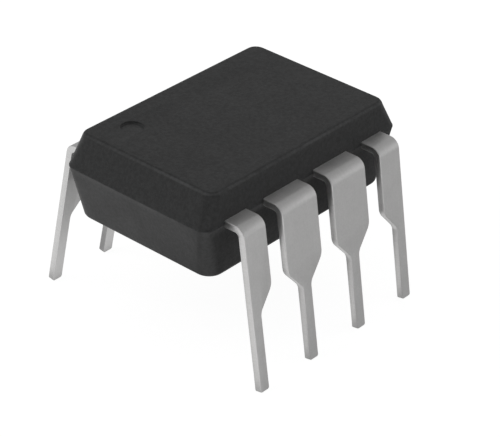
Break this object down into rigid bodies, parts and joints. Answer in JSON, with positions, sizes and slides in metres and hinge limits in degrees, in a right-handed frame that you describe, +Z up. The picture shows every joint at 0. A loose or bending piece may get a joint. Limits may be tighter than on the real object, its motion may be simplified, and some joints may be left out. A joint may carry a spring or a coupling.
{
  "type": "dual in-line integrated circuit",
  "caption": "Moulded plastic dual in-line package with two rows of spread tin-plated leads, a round corner mark, and a wire-bonded die inside.",
  "frame": {"origin": "midway between the two rows of leads and the body's ends, in the plane of the lead tips", "axes": "+X along the body away from the marked end, +Y across it towards the row nearest the round mark, +Z up out of the marked top face"},
  "size_m": [0.0098, 0.01, 0.0069],
  "materials": {
    "mould_compound": "fine matt moulding compound, charcoal",
    "tin_plate": "satin tin plate on copper alloy strip",
    "silver_adhesive": "dull silver-filled epoxy",
    "silicon": "polished silicon",
    "gold_wire": "bright drawn gold"
  },
  "bodies": {
    "root": {"moulded_body": "mould_compound", "front_lead_1": "tin_plate", "front_lead_2": "tin_plate", "front_lead_3": "tin_plate", "front_lead_4": "tin_plate", "back_lead_1": "tin_plate", "back_lead_2": "tin_plate", "back_lead_3": "tin_plate", "back_lead_4_with_paddle": "tin_plate", "die_attach": "silver_adhesive", "silicon_die": "silicon", "front_bond_wire_1": "gold_wire", "front_bond_wire_2": "gold_wire", "front_bond_wire_3": "gold_wire", "front_bond_wire_4": "gold_wire", "back_bond_wire_1": "gold_wire", "back_bond_wire_2": "gold_wire", "back_bond_wire_3": "gold_wire", "back_bond_wire_4": "gold_wire"}
  },
  "joints": []
}
